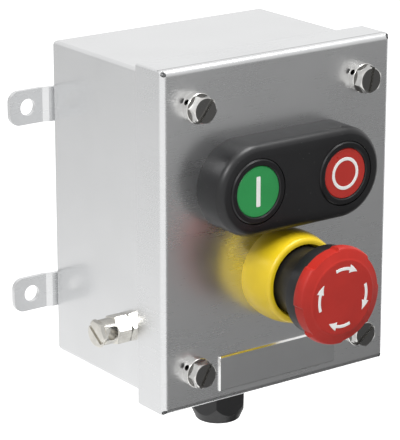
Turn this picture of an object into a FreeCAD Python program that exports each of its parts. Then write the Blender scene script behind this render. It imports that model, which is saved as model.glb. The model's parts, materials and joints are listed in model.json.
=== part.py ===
import FreeCAD, Part
import math
import os

# Explosion-proof control station: a wall enclosure of folded stainless sheet with a double
# pushbutton, a mushroom emergency stop, an outside earth terminal and a cable gland.
#
# Millimetres. +Z is up, the front faces -Y and +X is on the right when the front is looked at.
# The origin is the centre of the four lug holes, on the plane of the wall that the lugs rest on.

V = FreeCAD.Vector

# Sheet and cover
SHEET = 1.5
COVER_WIDTH = 113.5
COVER_HEIGHT = 140.0
COVER_SKIRT = 17.3
COVER_BEND = 2.6
COVER_CORNER = 0.9
COVER_GAP = 1.8
RELIEF_RADIUS = 1.0

# Enclosure behind the cover
BODY_DEPTH = 77.85
BODY_BEND = 2.0
RIM_WIDTH = 7.45
RIM_CORNER = 3.0
GASKET_THICKNESS = 3.0
GASKET_WIDTH = 4.9
GASKET_MARGIN = 1.2
BRACKET_LEG = 23.5
BRACKET_THICKNESS = 3.0
BRACKET_END = 8.5
BRACKET_CORNER_CUT = 1.4
BUSH_RADIUS = 5.0
BUSH_LENGTH = 7.0

# Mounting straps, whose ends are the four lugs
LUG_HOLE_OFFSET = 11.05
LUG_SPACING_Z = 80.0
LUG_HEIGHT = 14.4
LUG_END_MARGIN = 8.5
LUG_CORNER = 4.5
LUG_HOLE_RADIUS = 3.5
LUG_THICKNESS = 2.0
LUG_STEP = 1.2
LUG_STEP_START = 1.6
LUG_STEP_LENGTH = 2.4

# Cover screws
SCREW_INSET_X = 15.75
SCREW_INSET_Z = 16.0
SCREW_RADIUS = 3.0
SCREW_FLATS = 10.0
SCREW_HEAD = 4.0
SCREW_SLOT = 1.6
SCREW_SLOT_DEPTH = 1.8
SCREW_LENGTH = 15.0
SEAL_COLLAR_RADIUS = 6.1
SEAL_COLLAR_HEIGHT = 3.0
SEAL_COLLAR_BEVEL = 0.2
SEAL_HOLE_RADIUS = 1.2
SEAL_HOLE_ANGLE = 150.0
SCREW_SLOT_ANGLES = (52.0, 78.0, 62.0, 38.0)
RETAINER_RADIUS = 4.7
RETAINER_HEIGHT = 1.8

# Blank plate
PLATE_WIDTH = 59.5
PLATE_HEIGHT = 14.8
PLATE_THICKNESS = 0.9
PLATE_Z = -57.9
PLATE_BEVEL = 0.6
PLATE_CORNER = 0.8

# Threaded barrels that hold the actuators in the cover
BARREL_RADIUS = 10.9
BARREL_LENGTH = 12.0
BARREL_HOLE_GAP = 0.35
LOCK_NUT_RADIUS = 15.0
LOCK_NUT_HEIGHT = 4.5
LOCK_NUT_NOTCHES = 6
LOCK_NUT_NOTCH = 3.2
SEAL_RING_RADIUS = 6.5
SEAL_RING_HEIGHT = 2.6
FLAT_SEAL = 1.2
WIRE_SIDES = 8

# Clearances
SLIDING_FIT = 0.05
LOOSE_FIT = 0.3
TRAVEL_END_GAP = 0.8
ROD_END_GAP = 1.5
BEYOND_CORNER = 0.1

# Double pushbutton
BUTTON_SPACING = 43.4
BUTTON_Z = 20.4
HOUSING_RADIUS = 19.3
HOUSING_WALL = 8.3
HOUSING_HEIGHT = 15.0
HOUSING_SHOULDER = 5.1
HOUSING_SHOULDER_BULGE = 1.4
HOUSING_FLOOR = 3.0
HOUSING_SEAL_LIP = 1.3
CAP_RADIUS = 13.0
CAP_HEIGHT = 15.4
CAP_WALL = 1.5
CAP_RIM_BEVEL = 0.5
DISC_RADIUS = 10.3
DISC_HEIGHT = 15.0
DISC_THICKNESS = 2.6
STEM_RADIUS = 4.0
STEM_END = -18.0
STEM_BOSS_RADIUS = 5.4
STEM_BOSS_HEIGHT = 2.2
BUTTON_TRAVEL = 4.0
BUTTON_SPRING_RADIUS = 7.2
BUTTON_SPRING_WIRE = 0.5
BUTTON_SPRING_TURNS = 3.0

# Emergency stop
STOP_Z = -20.0
COLLAR_BASE_RADIUS = 18.3
COLLAR_BELLY_RADIUS = 18.9
COLLAR_RIM_RADIUS = 17.8
COLLAR_HEIGHT = 16.6
COLLAR_BORE = 14.4
COLLAR_FLOOR = 3.0
COLLAR_BEVEL = 1.7
COLLAR_ROUND = 1.9
BUSHING_FLANGE = 14.1
BUSHING_FLANGE_HEIGHT = 2.8
BUSHING_WELL_RADIUS = 8.5
BUSHING_WELL_FLOOR = -4.0
NECK_RADIUS = 14.0
NECK_STRAIGHT = 24.0
NECK_WALL = 2.0
SKIRT_RADIUS = 18.8
SKIRT_HEIGHT = 32.9
SKIRT_HUB = 4.8
HEAD_BACK_RADIUS = 19.4
HEAD_RADIUS = 20.4
HEAD_WIDEST = 36.8
HEAD_SHOULDER = 39.6
HEAD_FRONT_RADIUS = 15.6
HEAD_HEIGHT = 43.0
HEAD_LOBES = 3
HEAD_LOBE_ANGLE = 48.0
HEAD_LOBE_START = 36.0
HEAD_SCALLOP = 0.8
HEAD_SHOULDER_INSET = 0.9
HEAD_SIDE_BULGE = 0.2
HEAD_EDGE_WIDTH = 0.5
HEAD_EDGE_HEIGHT = 0.35
SHAFT_RADIUS = 4.5
SHAFT_END = -18.0
SHAFT_SHOULDER_RADIUS = 8.2
SHAFT_SHOULDER_TOP = 9.5
SHAFT_SHOULDER_HEIGHT = 1.5
SHAFT_TIP_RADIUS = 6.0
SHAFT_TIP_HEIGHT = 2.0
STOP_TRAVEL = 5.5
STOP_SPRING_RADIUS = 7.9
STOP_SPRING_WIRE = 0.55
STOP_SPRING_TURNS = 4.0

# Contact blocks behind the barrels
BLOCK_WIDTH = 30.0
BLOCK_HEIGHT = 36.0
BLOCK_DEPTH = 34.0
BLOCK_CORNER = 1.8
BLOCK_COUPLING_RADIUS = 13.2
BLOCK_COUPLING_LENGTH = 4.0
BLOCK_SHELF_DEPTH = 4.0
BLOCK_SHELF_HEIGHT = 10.5
BLOCK_BARRIER = 2.0
BLOCK_SIDE_WALL = 1.4
BLOCK_WIRE_WIDTH = 6.0
BLOCK_WIRE_HEIGHT = 5.0
BLOCK_WIRE_DEPTH = 7.5
BLOCK_GRIP_DEPTH = 0.8
BLOCK_GRIP_WIDTH = 1.6
BLOCK_GRIP_PITCH = 3.4
BLOCK_GRIPS = 4
TERMINAL_RADIUS = 2.9
TERMINAL_HEAD = 2.4
TERMINAL_SHANK_RADIUS = 1.7
TERMINAL_SHANK = 5.0
TERMINAL_RECESS = 3.4
TERMINAL_SLOT = 0.9
TERMINAL_SLOT_DEPTH = 1.1

# Earth terminal on the left wall
EARTH_DEPTH = 31.5
EARTH_Z = -42.0
EARTH_FLATS = 11.0
EARTH_HEX_LENGTH = 6.6
EARTH_HEX_TURN = 10.0
EARTH_NECK_RADIUS = 5.3
EARTH_NECK_LENGTH = 5.6
EARTH_HOLE_LEVEL = 2.5
EARTH_HOLE_RADIUS = 2.25
EARTH_THREAD_RADIUS = 2.95
EARTH_THREAD_LENGTH = 9.5
EARTH_SCREW_RADIUS = 2.5
EARTH_SCREW_HEAD = 2.0
EARTH_SCREW_ANGLE = 25.0
EARTH_WASHER_RADIUS = 6.2
EARTH_WASHER_THICKNESS = 1.2
EARTH_NUT_HEIGHT = 5.0
FASTENER_FLATS = 10.0
HEX_END_SHARE = 0.97
HEX_CHAMFER_ANGLE = 30.0

# Cable gland under the enclosure
GLAND_DEPTH = 40.4
GLAND_THREAD_RADIUS = 9.9
GLAND_THREAD_EXTRA = 1.5
GLAND_HEX_FLATS = 24.0
GLAND_HEX_HEIGHT = 5.5
GLAND_SEAL_THICKNESS = 1.5
GLAND_SEAL_RADIUS = 12.6
GLAND_NECK_RADIUS = 9.4
GLAND_NECK_END = 19.0
GLAND_BORE = 6.6
GLAND_CUP_RADIUS = 7.8
GLAND_CUP_FLOOR = 10.5
CABLE_HOLE_RADIUS = 5.0
GLAND_RUBBER_END = 21.5
DOME_FLATS = 22.0
DOME_TURN = 9.0
DOME_START = 8.0
DOME_SHOULDER = 21.8
DOME_END = 29.4
DOME_END_RADIUS = 9.2
DOME_MOUTH = 6.6
DOME_EDGE = 1.2
GLAND_NUT_FLATS = 24.0
GLAND_NUT_HEIGHT = 5.0

# Sizes worked out from the values above
BODY_WIDTH = COVER_WIDTH - 2 * (SHEET + COVER_GAP)
BODY_HEIGHT = COVER_HEIGHT - 2 * (SHEET + COVER_GAP)
BODY_BACK_Y = -(LUG_THICKNESS + LUG_STEP)
RIM_LEVEL = -(SHEET + GASKET_THICKNESS)
FRONT_Y = BODY_BACK_Y - BODY_DEPTH + RIM_LEVEL
LUG_SPACING_X = BODY_WIDTH + 2 * LUG_HOLE_OFFSET
INNER_BEND = BODY_BEND - SHEET
INSIDE_X = BODY_WIDTH / 2 - SHEET
INSIDE_Z = BODY_HEIGHT / 2 - SHEET
BRACKET_LEVEL = RIM_LEVEL - SHEET
BLOCK_FRONT = -BARREL_LENGTH
BLOCK_REAR = BLOCK_FRONT - BLOCK_DEPTH
BUTTON_PLACES = ((-BUTTON_SPACING / 2, BUTTON_Z), (BUTTON_SPACING / 2, BUTTON_Z))
STOP_PLACE = (0.0, STOP_Z)
ACTUATOR_PLACES = BUTTON_PLACES + (STOP_PLACE,)
SCREW_X = COVER_WIDTH / 2 - SCREW_INSET_X
SCREW_Z = COVER_HEIGHT / 2 - SCREW_INSET_Z
SCREW_PLACES = ((-SCREW_X, SCREW_Z), (SCREW_X, SCREW_Z), (-SCREW_X, -SCREW_Z), (SCREW_X, -SCREW_Z))
BLOCK_BORE_RADIUS = SHAFT_RADIUS + LOOSE_FIT
BLOCK_BORE_END = SHAFT_END - STOP_TRAVEL - ROD_END_GAP
CAP_SKIRT_END = HOUSING_FLOOR + BUTTON_TRAVEL + TRAVEL_END_GAP
FLANGE_TOP = COLLAR_FLOOR + BUSHING_FLANGE_HEIGHT
NECK_END = FLANGE_TOP + STOP_TRAVEL + TRAVEL_END_GAP


# Places. Each piece is drawn about its own axis, which is the local Z, and then set in its place.

def placed(shape, foot, axis, angle):
    """Copy of a piece turned about an axis and then moved so that its local origin is at foot."""
    moved = shape.copy()
    place = FreeCAD.Placement(foot, FreeCAD.Rotation(axis, angle))
    moved.Placement = place.multiply(shape.Placement)
    return moved


def on_front(shape, x=0.0, z=0.0):
    """Sets a piece on the cover's front face: local Z points out of the cover, local Y up."""
    return placed(shape, V(x, FRONT_Y, z), V(1, 0, 0), 90)


def on_left_wall(shape):
    """Sets a piece on the left wall: local Z points out of the wall, local X up."""
    return placed(shape, V(-BODY_WIDTH / 2, FRONT_Y + EARTH_DEPTH, EARTH_Z), V(0, 1, 0), -90)


def on_bottom_wall(shape):
    """Sets a piece under the bottom wall: local Z points down."""
    return placed(shape, V(0, FRONT_Y + GLAND_DEPTH, -BODY_HEIGHT / 2), V(1, 0, 0), 180)


# Basic forms

def polar(radius, angle):
    return radius * math.cos(math.radians(angle)), radius * math.sin(math.radians(angle))


def outline(points, at):
    """Closed wire through points. Two numbers end a straight line, four give an arc's middle and end."""
    edges = []
    last = at(*points[-1][-2:])
    for point in points:
        end = at(*point[-2:])
        if len(point) == 4:
            edges.append(Part.Arc(last, at(*point[:2]), end).toShape())
        else:
            edges.append(Part.LineSegment(last, end).toShape())
        last = end
    return Part.Wire(edges)


def turned(*points):
    """Solid turned about the local Z from a closed outline of radius and height."""
    wire = outline(points, lambda radius, height: V(radius, 0, height))
    return Part.Face(wire).revolve(V(0, 0, 0), V(0, 0, 1), 360)


def disc(radius, low, high):
    return Part.makeCylinder(radius, high - low, V(0, 0, low))


def ring(outer, inner, low, high):
    return disc(outer, low, high).cut(disc(inner, low, high))


def block(width, height, low, high, x=0.0, y=0.0):
    """Plain block, centred on x and y."""
    return Part.makeBox(width, height, high - low, V(x - width / 2, y - height / 2, low))


def rounded_block(width, height, radius, low, high):
    """Block whose four long edges are rounded."""
    solid = block(width, height, low, high)
    edges = [e for e in solid.Edges if abs(e.tangentAt(e.FirstParameter).z) > 0.5]
    return solid.makeFillet(radius, edges)


def prism(points, low, high):
    """Straight prism over a polygon."""
    corners = [V(x, y, low) for x, y in points]
    return Part.Face(Part.makePolygon(corners + corners[:1])).extrude(V(0, 0, high - low))


def hexagon(flats, low, high, turn=0.0):
    """Hexagonal prism with a corner at the angle turn."""
    return prism([polar(flats / math.sqrt(3), turn + 60 * k) for k in range(6)], low, high)


def chamfered_hexagon(flats, low, high, turn=0.0, both=True):
    """Hexagonal prism whose corners are turned off at the top, and at the bottom too if both is set.

    It is made with a flat on the local X, where the turned form's seam lies, and then turned."""
    reach = flats / math.sqrt(3) + BEYOND_CORNER
    face = flats / 2 * HEX_END_SHARE
    drop = (reach - face) * math.tan(math.radians(HEX_CHAMFER_ANGLE))
    foot = [(face, low), (reach, low + drop)] if both else [(reach, low)]
    shape = turned((0, low), *foot, (reach, high - drop), (face, high), (0, high))
    nut = hexagon(flats, low, high, 30).common(shape)
    nut.rotate(V(0, 0, 0), V(0, 0, 1), turn - 30)
    return nut


def stadium(radius, low, high):
    """Pill-shaped prism over the two button axes, which lie half the button spacing to each side."""
    ends = [disc(radius, low, high).translate(V(side * BUTTON_SPACING / 2, 0, 0)) for side in (-1, 1)]
    middle = block(BUTTON_SPACING, 2 * radius, low, high)
    return middle.fuse(ends).removeSplitter()


def slot_cut(width, length, depth, top, angle):
    """Cutter for a screwdriver slot in a face at the height top."""
    cutter = block(length, width, top - depth, top + 1)
    cutter.rotate(V(0, 0, 0), V(0, 0, 1), angle)
    return cutter


def spring(mean_radius, wire_radius, turns, low, high):
    """Compression spring of many-sided wire between two heights, just clear of both seats."""
    rise = high - low - 2 * wire_radius - 2 * SLIDING_FIT
    helix = Part.makeHelix(rise / turns, rise, mean_radius)
    corners = [polar(wire_radius, 360 / WIRE_SIDES * k) for k in range(WIRE_SIDES)]
    section = Part.makePolygon([V(mean_radius + x, 0, z) for x, z in corners + corners[:1]])
    coil = Part.Wire(helix.Edges).makePipeShell([section], True, True)
    return coil.translate(V(0, 0, low + wire_radius + SLIDING_FIT))


# Enclosure

def folded_box(width, height, low, high, radius):
    """Closed box with every edge rounded, as its folds leave it."""
    solid = block(width, height, low, high)
    return solid.makeFillet(radius, solid.Edges)


def make_enclosure_body():
    """Folded box with an inward rim at its open front, and holes for the earth terminal and the gland."""
    rear = RIM_LEVEL - BODY_DEPTH
    shell = folded_box(BODY_WIDTH, BODY_HEIGHT, rear, RIM_LEVEL, BODY_BEND)
    inside = folded_box(2 * INSIDE_X, 2 * INSIDE_Z, rear + SHEET, RIM_LEVEL - SHEET, INNER_BEND)
    mouth = rounded_block(BODY_WIDTH - 2 * RIM_WIDTH, BODY_HEIGHT - 2 * RIM_WIDTH, RIM_CORNER,
                          RIM_LEVEL - 2 * SHEET, RIM_LEVEL + SHEET)
    box = on_front(shell.cut(inside).cut(mouth))
    earth_hole = on_left_wall(disc(EARTH_THREAD_RADIUS + LOOSE_FIT, -2 * SHEET, SHEET))
    gland_hole = on_bottom_wall(disc(GLAND_THREAD_RADIUS + LOOSE_FIT, -2 * SHEET, SHEET))
    return box.cut(earth_hole).cut(gland_hole)


def make_corner_brackets():
    """Corner plates welded behind the rim, each with a threaded bush for a cover screw.

    They stop short of the walls, where the bend behind the rim begins."""
    edge_x, edge_z = INSIDE_X - INNER_BEND, INSIDE_Z - INNER_BEND
    brackets = []
    for x, z in SCREW_PLACES:
        side, top = math.copysign(1, x), math.copysign(1, z)
        shape = ((edge_x - BRACKET_CORNER_CUT, edge_z), (edge_x - BRACKET_LEG, edge_z),
                 (edge_x - BRACKET_LEG, edge_z - BRACKET_END), (edge_x - BRACKET_END, edge_z - BRACKET_LEG),
                 (edge_x, edge_z - BRACKET_LEG), (edge_x, edge_z - BRACKET_CORNER_CUT))
        plate = prism([(side * px, top * pz) for px, pz in shape],
                      BRACKET_LEVEL - BRACKET_THICKNESS, BRACKET_LEVEL)
        end = BRACKET_LEVEL - BRACKET_THICKNESS - BUSH_LENGTH
        bush = disc(BUSH_RADIUS, end, BRACKET_LEVEL - BRACKET_THICKNESS / 2)
        thread = disc(SCREW_RADIUS + SLIDING_FIT, end, BRACKET_LEVEL)
        for piece in (bush, thread):
            piece.translate(V(x, z, 0))
        brackets.append(on_front(plate.fuse(bush).cut(thread)))
    return Part.makeCompound(brackets)


def make_mounting_strap(z):
    """Strap across the rear wall. Its two ends step back to the wall and are the lugs."""
    reach = LUG_SPACING_X / 2 + LUG_END_MARGIN
    step_start = BODY_WIDTH / 2 + LUG_STEP_START
    step_end = step_start + LUG_STEP_LENGTH
    half = [(step_start, BODY_BACK_Y), (step_end, -LUG_THICKNESS), (reach, -LUG_THICKNESS), (reach, 0),
            (step_end, 0), (step_start, BODY_BACK_Y + LUG_THICKNESS)]
    section = half + [(-x, y) for x, y in reversed(half)]
    strap = prism(section, -LUG_HEIGHT / 2, LUG_HEIGHT / 2)
    face = rounded_block(2 * reach, LUG_HEIGHT, LUG_CORNER, 0, -BODY_BACK_Y)
    for side in (-1, 1):
        hole = disc(LUG_HOLE_RADIUS, 0, -BODY_BACK_Y)
        face = face.cut(hole.translate(V(side * LUG_SPACING_X / 2, 0, 0)))
    face.rotate(V(0, 0, 0), V(1, 0, 0), 90)
    return strap.common(face).translate(V(0, 0, z))


# Cover

def make_cover():
    """Tray folded from sheet. The two bends leave a small relief hole where they meet at each corner."""
    outside = rounded_block(COVER_WIDTH, COVER_HEIGHT, COVER_CORNER, -COVER_SKIRT, 0)
    folds = [e for e in outside.Edges if all(abs(v.Z) < SHEET / 2 for v in e.Vertexes)]
    outside = outside.makeFillet(COVER_BEND, folds)
    hollow = block(COVER_WIDTH - 2 * SHEET, COVER_HEIGHT - 2 * SHEET, -2 * COVER_SKIRT, -SHEET)
    folds = [e for e in hollow.Edges if all(abs(v.Z + SHEET) < SHEET / 2 for v in e.Vertexes)]
    hollow = hollow.makeFillet(COVER_BEND - SHEET, folds)
    tray = outside.cut(hollow)
    for x, z in SCREW_PLACES:
        hole = disc(SCREW_RADIUS + LOOSE_FIT, -2 * SHEET, SHEET)
        relief = disc(RELIEF_RADIUS, -COVER_BEND - SHEET, SHEET)
        corner_x = math.copysign(COVER_WIDTH / 2 - COVER_BEND / 2, x)
        corner_z = math.copysign(COVER_HEIGHT / 2 - COVER_BEND / 2, z)
        tray = tray.cut([hole.translate(V(x, z, 0)), relief.translate(V(corner_x, corner_z, 0))])
    for x, z in ACTUATOR_PLACES:
        hole = disc(BARREL_RADIUS + BARREL_HOLE_GAP, -2 * SHEET, SHEET)
        tray = tray.cut(hole.translate(V(x, z, 0)))
    return on_front(tray)


def make_cover_gasket():
    """Rubber frame between the enclosure's rim and the cover."""
    width = BODY_WIDTH - 2 * (SHEET + GASKET_MARGIN)
    height = BODY_HEIGHT - 2 * (SHEET + GASKET_MARGIN)
    frame = rounded_block(width, height, RIM_CORNER, RIM_LEVEL, -SHEET)
    hole = rounded_block(width - 2 * GASKET_WIDTH, height - 2 * GASKET_WIDTH, RIM_CORNER / 2,
                         RIM_LEVEL, -SHEET)
    return on_front(frame.cut(hole))


def make_cover_screw(slot_angle):
    """Slotted hexagon screw with a round collar, drilled across for a sealing wire."""
    top = SEAL_COLLAR_HEIGHT + SCREW_HEAD
    head = chamfered_hexagon(SCREW_FLATS, SEAL_COLLAR_HEIGHT, top, slot_angle, both=False)
    collar_edge = SEAL_COLLAR_RADIUS - SEAL_COLLAR_BEVEL
    collar = turned((0, 0), (SEAL_COLLAR_RADIUS, 0),
                    (SEAL_COLLAR_RADIUS, SEAL_COLLAR_HEIGHT - SEAL_COLLAR_BEVEL),
                    (collar_edge, SEAL_COLLAR_HEIGHT), (0, SEAL_COLLAR_HEIGHT))
    shank = disc(SCREW_RADIUS, -SCREW_LENGTH, 0)
    screw = head.fuse([collar, shank])
    slot = slot_cut(SCREW_SLOT, 2 * SCREW_FLATS, SCREW_SLOT_DEPTH, top, slot_angle)
    reach = 2 * SEAL_COLLAR_RADIUS
    start = V(-reach / 2, 0, SEAL_COLLAR_HEIGHT / 2)
    seal_hole = Part.makeCylinder(SEAL_HOLE_RADIUS, reach, start, V(1, 0, 0))
    seal_hole.rotate(V(0, 0, 0), V(0, 0, 1), SEAL_HOLE_ANGLE)
    return screw.cut(slot).cut(seal_hole)


def make_cover_screws():
    screws = [make_cover_screw(angle) for angle in SCREW_SLOT_ANGLES]
    return Part.makeCompound([on_front(screw, *place) for screw, place in zip(screws, SCREW_PLACES)])


def make_screw_retainers():
    """Plastic rings behind the cover that keep its screws from falling out."""
    inner = SCREW_RADIUS + SLIDING_FIT
    retainer = ring(RETAINER_RADIUS, inner, -SHEET - RETAINER_HEIGHT, -SHEET)
    return Part.makeCompound([on_front(retainer, x, z) for x, z in SCREW_PLACES])


def make_blank_plate():
    """Narrow bare plate with bevelled edges."""
    plate = rounded_block(PLATE_WIDTH, PLATE_HEIGHT, PLATE_CORNER, 0, PLATE_THICKNESS)
    top = [e for e in plate.Edges if all(v.Z > PLATE_THICKNESS / 2 for v in e.Vertexes)]
    return on_front(plate.makeChamfer(PLATE_BEVEL, top), 0, PLATE_Z)


# Parts that all three actuators share

def barrel():
    """Threaded barrel of an actuator, from the cover's front face to the contact block."""
    thread_edge = 0.6
    return turned((0, 0), (BARREL_RADIUS, 0), (BARREL_RADIUS, thread_edge - BARREL_LENGTH),
                  (BARREL_RADIUS - thread_edge, -BARREL_LENGTH), (0, -BARREL_LENGTH))


def seal_seat():
    """Counterbore for the rubber ring at the barrel's inner end."""
    return disc(SEAL_RING_RADIUS + SLIDING_FIT, -BARREL_LENGTH, -BARREL_LENGTH + SEAL_RING_HEIGHT)


def seal_ring(rod_radius):
    """Rubber ring with rounded sides round a rod."""
    low, high = -BARREL_LENGTH, -BARREL_LENGTH + SEAL_RING_HEIGHT
    inner = rod_radius + LOOSE_FIT
    middle = (low + high) / 2
    lip = 0.6
    return turned((SEAL_RING_RADIUS - lip, low), (SEAL_RING_RADIUS, middle, SEAL_RING_RADIUS - lip, high),
                  (inner + lip, high), (inner, middle, inner + lip, low))


def lock_nut():
    """Round nut behind the cover, notched for a spanner."""
    top = -SHEET
    low = top - LOCK_NUT_HEIGHT
    nut = ring(LOCK_NUT_RADIUS, BARREL_RADIUS + SLIDING_FIT, low, top)
    for k in range(LOCK_NUT_NOTCHES):
        notch = block(LOCK_NUT_NOTCH, LOCK_NUT_NOTCH, low, top, LOCK_NUT_RADIUS)
        notch.rotate(V(0, 0, 0), V(0, 0, 1), 360 / LOCK_NUT_NOTCHES * k)
        nut = nut.cut(notch)
    return nut


# Double pushbutton

def pill(*points):
    """Solid with the same outline all round the pill: turned at the ends, straight between them."""
    half = BUTTON_SPACING / 2
    wire = outline(points, lambda radius, height: V(-half, radius, height))
    side = Part.Face(wire).extrude(V(BUTTON_SPACING, 0, 0))
    ends = [turned(*points).translate(V(direction * half, 0, 0)) for direction in (-1, 1)]
    return side.fuse([side.mirror(V(0, 0, 0), V(0, 1, 0))] + ends).removeSplitter()


def make_button_housing():
    """Pill-shaped moulding with a rounded shoulder, a well for each button and two threaded barrels."""
    front = HOUSING_RADIUS - HOUSING_SHOULDER
    rise = HOUSING_HEIGHT - HOUSING_WALL
    length = math.hypot(HOUSING_SHOULDER, rise)
    bulge = HOUSING_SHOULDER_BULGE / length
    middle_radius = (HOUSING_RADIUS + front) / 2 + bulge * rise
    middle_height = (HOUSING_WALL + HOUSING_HEIGHT) / 2 + bulge * HOUSING_SHOULDER
    housing = pill((0, 0), (HOUSING_RADIUS, 0), (HOUSING_RADIUS, HOUSING_WALL),
                   (middle_radius, middle_height, front, HOUSING_HEIGHT), (0, HOUSING_HEIGHT))
    housing = housing.cut(stadium(HOUSING_RADIUS - HOUSING_SEAL_LIP, 0, FLAT_SEAL))
    for x, _ in BUTTON_PLACES:
        tube = barrel().fuse(disc(BARREL_RADIUS, 0, HOUSING_FLOOR))
        well = disc(CAP_RADIUS + LOOSE_FIT, HOUSING_FLOOR, HOUSING_HEIGHT)
        bore = disc(STEM_RADIUS + SLIDING_FIT, -BARREL_LENGTH, HOUSING_HEIGHT)
        housing = housing.fuse(tube.translate(V(x, 0, 0)))
        housing = housing.cut([cut.translate(V(x, 0, 0)) for cut in (well, bore, seal_seat())])
    return on_front(housing, 0, BUTTON_Z)


def make_housing_gasket():
    """Flat seal in the housing's underside, with a hole for each barrel."""
    seal = stadium(HOUSING_RADIUS - HOUSING_SEAL_LIP - SLIDING_FIT, 0, FLAT_SEAL)
    for x, _ in BUTTON_PLACES:
        seal = seal.cut(disc(BARREL_RADIUS + SLIDING_FIT, 0, FLAT_SEAL).translate(V(x, 0, 0)))
    return on_front(seal, 0, BUTTON_Z)


def make_button_cap():
    """Black cup: a rim round the coloured disc, a skirt in the well and a boss for the stem."""
    pocket = DISC_HEIGHT - DISC_THICKNESS
    ceiling = pocket - CAP_WALL
    boss_end = ceiling - STEM_BOSS_HEIGHT
    return turned((STEM_RADIUS + SLIDING_FIT, ceiling), (STEM_RADIUS + SLIDING_FIT, boss_end),
                  (STEM_BOSS_RADIUS, boss_end), (STEM_BOSS_RADIUS, ceiling),
                  (CAP_RADIUS - CAP_WALL, ceiling), (CAP_RADIUS - CAP_WALL, CAP_SKIRT_END),
                  (CAP_RADIUS, CAP_SKIRT_END), (CAP_RADIUS, CAP_HEIGHT - CAP_RIM_BEVEL),
                  (CAP_RADIUS - CAP_RIM_BEVEL, CAP_HEIGHT), (DISC_RADIUS + CAP_RIM_BEVEL, CAP_HEIGHT),
                  (DISC_RADIUS + SLIDING_FIT, DISC_HEIGHT), (DISC_RADIUS + SLIDING_FIT, pocket),
                  (0, pocket), (0, ceiling))


def make_button_disc():
    """Coloured disc that snaps into the cap."""
    edge = 0.3
    low = DISC_HEIGHT - DISC_THICKNESS
    return turned((0, low), (DISC_RADIUS, low), (DISC_RADIUS, DISC_HEIGHT - edge),
                  (DISC_RADIUS - edge, DISC_HEIGHT), (0, DISC_HEIGHT))


def make_button_stem():
    """Push rod from the cap to the contact block, with a rounded tip."""
    top = DISC_HEIGHT - DISC_THICKNESS - CAP_WALL
    tip = 1.0
    return turned((0, top), (STEM_RADIUS, top), (STEM_RADIUS, STEM_END + tip),
                  (STEM_RADIUS - 0.3 * tip, STEM_END + 0.3 * tip, STEM_RADIUS - tip, STEM_END), (0, STEM_END))


def make_button_spring():
    ceiling = DISC_HEIGHT - DISC_THICKNESS - CAP_WALL
    return spring(BUTTON_SPRING_RADIUS, BUTTON_SPRING_WIRE, BUTTON_SPRING_TURNS, HOUSING_FLOOR, ceiling)


# Emergency stop

def make_stop_collar():
    """Guard collar: a slightly barrelled ring with a rounded rim and a bevel round its bore."""
    rim_start = COLLAR_HEIGHT - COLLAR_ROUND
    round_mid = COLLAR_ROUND * 0.29
    flat_start = COLLAR_RIM_RADIUS - COLLAR_ROUND
    hole = BARREL_RADIUS + LOOSE_FIT
    seal_edge = COLLAR_BASE_RADIUS - HOUSING_SEAL_LIP
    return turned((hole, FLAT_SEAL), (seal_edge, FLAT_SEAL), (seal_edge, 0), (COLLAR_BASE_RADIUS, 0),
                  (COLLAR_BELLY_RADIUS, COLLAR_HEIGHT * 0.45, COLLAR_RIM_RADIUS, rim_start),
                  (COLLAR_RIM_RADIUS - round_mid, COLLAR_HEIGHT - round_mid, flat_start, COLLAR_HEIGHT),
                  (COLLAR_BORE + COLLAR_BEVEL / 2, COLLAR_HEIGHT),
                  (COLLAR_BORE, COLLAR_HEIGHT - COLLAR_BEVEL), (COLLAR_BORE, COLLAR_FLOOR),
                  (hole, COLLAR_FLOOR))


def make_stop_gasket():
    outer = COLLAR_BASE_RADIUS - HOUSING_SEAL_LIP - SLIDING_FIT
    return ring(outer, BARREL_RADIUS + SLIDING_FIT, 0, FLAT_SEAL)


def make_stop_bushing():
    """Bushing whose flange clamps the collar, with a well for the spring and a guide for the shaft."""
    flange = disc(BUSHING_FLANGE, COLLAR_FLOOR, FLANGE_TOP)
    body = flange.fuse([disc(BARREL_RADIUS, 0, COLLAR_FLOOR), barrel()]).removeSplitter()
    well = disc(BUSHING_WELL_RADIUS, BUSHING_WELL_FLOOR, FLANGE_TOP)
    guide = disc(SHAFT_RADIUS + SLIDING_FIT, -BARREL_LENGTH, FLANGE_TOP)
    return body.cut([well, guide, seal_seat()])


def make_stop_shaft():
    """Shaft with a shoulder for the spring and a wider tip that holds the head."""
    shoulder_low = SHAFT_SHOULDER_TOP - SHAFT_SHOULDER_HEIGHT
    tip_low = SKIRT_HEIGHT + LOOSE_FIT
    tip_high = tip_low + SHAFT_TIP_HEIGHT
    nose = 1.0
    return turned((0, SHAFT_END), (SHAFT_RADIUS - nose, SHAFT_END), (SHAFT_RADIUS, SHAFT_END + nose),
                  (SHAFT_RADIUS, shoulder_low), (SHAFT_SHOULDER_RADIUS, shoulder_low),
                  (SHAFT_SHOULDER_RADIUS, SHAFT_SHOULDER_TOP), (SHAFT_RADIUS, SHAFT_SHOULDER_TOP),
                  (SHAFT_RADIUS, tip_low), (SHAFT_TIP_RADIUS, tip_low), (SHAFT_TIP_RADIUS, tip_high),
                  (0, tip_high))


def make_stop_spring():
    seat = SHAFT_SHOULDER_TOP - SHAFT_SHOULDER_HEIGHT
    radius = STOP_SPRING_RADIUS - STOP_SPRING_WIRE
    return spring(radius, STOP_SPRING_WIRE, STOP_SPRING_TURNS, BUSHING_WELL_FLOOR, seat)


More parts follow.
